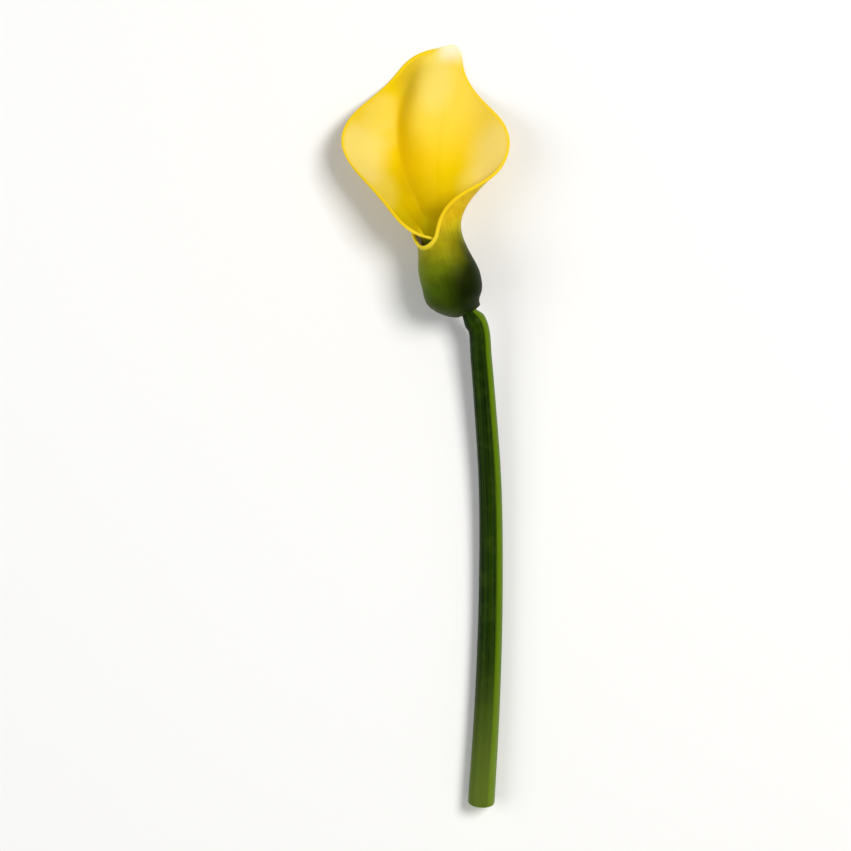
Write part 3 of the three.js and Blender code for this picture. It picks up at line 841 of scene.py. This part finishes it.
def spathe_material():
    """Satin skin, painted inside, outside and along the edge, with faint blotches, lanes and fine veins."""
    s = Shading("spathe_skin")
    # fold is the painted shade and pale the painted light
    names = ("inside", "angle", "fold", "edge", "pale")
    inside, angle, fold, edge, pale = (s.attribute(name) for name in names)
    height = s.from_foot(1)
    lanes = s.noise(1.0, 3, s.combine(s.math("MULTIPLY", angle, 0.5), s.math("MULTIPLY", height, 0.025), 0))
    colour = s.mix(inside, back_paint(s, height, angle, lanes), mouth_paint(s, height, fold, pale))
    colour = edge_paint(s, height, angle, edge, colour)
    blotches = s.between(s.noise(60, 3), 0.35, 0.7, 0.0, 0.15)
    colour = s.mix(blotches, colour, linear(250, 240, 210), "MULTIPLY")
    colour = s.mix(s.between(lanes, 0.45, 0.7, 0.0, 0.04), colour, linear(240, 224, 160), "MULTIPLY")
    fine_vein_angle = 2.6
    veins = s.math("SINE", s.math("MULTIPLY", angle, 2 * math.pi / fine_vein_angle))
    relief = s.math("ADD", s.math("MULTIPLY", veins, 0.15), s.noise(2600, 3))
    s.set(
        Base_Color=colour,
        Roughness=s.between(s.noise(900, 3), 0.3, 0.7, 0.4, 0.52),
        Normal=s.bump(relief, 0.03 * MM),
        Subsurface_Weight=0.3,
        Subsurface_Radius=(1.0, 0.7, 0.1),
        Subsurface_Scale=1.4 * MM,
        IOR=1.42,
        Specular_IOR_Level=0.08,
        Specular_Tint=(1.0, 0.85, 0.3, 1.0),
    )
    return s.material


def skin_paint(s, streaks, below):
    """The stem's skin: dark green streaks, partly painted shade, a painted lit band along the upper right,
    lighter towards the cut.
    """
    to_right, upwards = s.attribute("to_right"), s.attribute("upwards")
    # Very dark greens, partly the stem's own and partly painted shade
    colour = s.mix(s.between(streaks, 0.35, 0.65), linear(8, 26, 0), linear(28, 54, 0))
    # A painted highlight: the band where light falls along the upper right
    lit = s.math("MULTIPLY", s.between(to_right, 0.35, 0.65), s.between(upwards, -0.5, 0.1))
    colour = s.mix(s.math("MULTIPLY", lit, 0.8), colour, linear(100, 132, 6))
    colour = s.mix(s.between(below, 100, 150, 0.0, 0.5), colour, linear(120, 140, 50))
    return s.mix(s.between(s.noise(220, 4), 0.45, 0.75, 0.0, 0.2), colour, linear(70, 96, 18))


def cut_paint(s):
    """The cut's pale wet flesh, greener towards its edge, with darker bundles."""
    flesh = s.mix(s.between(s.attribute("outer"), 0.25, 1.0), linear(214, 222, 160), linear(150, 174, 84))
    bundles = s.between(s.pores(1500), 0.32, 0.16)
    return s.mix(s.math("MULTIPLY", bundles, 0.7), flesh, linear(116, 140, 62))


def stem_material():
    """Fleshy green skin with fine streaks, and wet flesh where it is cut."""
    s = Shading("stem_skin")
    cut, below = s.attribute("cut"), s.attribute("below")
    round_place = [s.math("MULTIPLY", s.attribute(name), 9) for name in ("to_right", "upwards")]
    streaks = s.noise(1.0, 4, s.combine(*round_place, s.math("MULTIPLY", below, 0.02)))
    grain = s.math("ADD", streaks, s.math("MULTIPLY", s.noise(3000, 2), 0.3))
    s.set(
        Base_Color=s.mix(cut, skin_paint(s, streaks, below), cut_paint(s)),
        Roughness=s.between(s.noise(700, 3), 0.3, 0.7, 0.34, 0.46),
        Normal=s.bump(grain, 0.06 * MM),
        Subsurface_Weight=0.15,
        Subsurface_Radius=(0.6, 1.0, 0.2),
        Subsurface_Scale=1.0 * MM,
        IOR=1.42,
        Specular_IOR_Level=0.12,
        Specular_Tint=(0.8, 1.0, 0.4, 1.0),
    )
    return s.material


def spadix_material():
    """Golden florets, paler on their tops, with pollen grain."""
    s = Shading("spadix_florets")
    tops = s.between(s.attribute("floret"), -0.6, 0.9)
    colour = s.mix(tops, linear(176, 112, 6), linear(246, 196, 40))
    colour = s.mix(s.between(s.noise(1200, 3), 0.45, 0.7, 0.0, 0.6), colour, linear(252, 220, 96))
    s.set(
        Base_Color=colour,
        Roughness=0.8,
        Normal=s.bump(s.noise(6000, 3), 0.08 * MM),
        Subsurface_Weight=0.1,
        Subsurface_Radius=(1.0, 0.5, 0.1),
        Subsurface_Scale=0.5 * MM,
    )
    return s.material


def floor_material():
    """Almost white matt paint."""
    s = Shading("floor_paint")
    s.set(Base_Color=s.mix(s.noise(3, 2), linear(246, 246, 245), linear(249, 249, 248)), Roughness=0.9)
    return s.material


def make_floor():
    """A plain pale floor under the flower, in metres."""
    reach = 6.0
    corners = [(-reach, -reach, 0), (reach, -reach, 0), (reach, reach, 0), (-reach, reach, 0)]
    mesh = bpy.data.meshes.new("floor")
    mesh.from_pydata(corners, [], [(0, 1, 2, 3)])
    mesh.materials.append(floor_material())
    floor = bpy.data.objects.new("floor", mesh)
    bpy.context.scene.collection.objects.link(floor)


def make_light(name, place, aim, size, power, colour):
    """A square soft light at a place in metres, aimed at another."""
    lamp = bpy.data.lights.new(name, "AREA")
    lamp.size = size
    lamp.energy = power
    lamp.color = colour
    light = bpy.data.objects.new(name, lamp)
    light.location = place
    light.rotation_euler = (Vector(aim) - Vector(place)).to_track_quat("-Z", "Y").to_euler()
    bpy.context.scene.collection.objects.link(light)


def make_lights():
    """Soft studio light, mostly from the upper right."""
    make_light("key", (0.7, 0.35, 1.3), (0, 0, 0.01), 0.6, 16.8, (1.0, 0.985, 0.96))
    make_light("fill", (-0.9, -0.1, 0.9), (0, 0, 0), 0.8, 5.0, (0.97, 0.985, 1.0))
    world = bpy.data.worlds.new("studio")
    world.use_nodes = True
    world.node_tree.nodes["Background"].inputs["Color"].default_value = (1, 1, 1, 1)
    world.node_tree.nodes["Background"].inputs["Strength"].default_value = 0.28
    bpy.context.scene.world = world
    bpy.context.scene.view_settings.view_transform = "Standard"


def make_camera():
    """Straight above, with the flower's tip at the top of the square picture."""
    low, high = cad_box
    distance = 1.2  # metres above the floor
    share = 0.90  # of the picture's height, that the flower fills
    camera = bpy.data.cameras.new("camera")
    field = (high.y - low.y) / share
    camera.lens = camera.sensor_width * (distance - high.z / 2) / field
    holder = bpy.data.objects.new("camera", camera)
    holder.location = ((low.x + high.x) / 2, (low.y + high.y) / 2, distance)
    bpy.context.scene.collection.objects.link(holder)
    bpy.context.scene.camera = holder


make_spathe()
make_spadix()
make_stem()
make_floor()
make_lights()
make_camera()
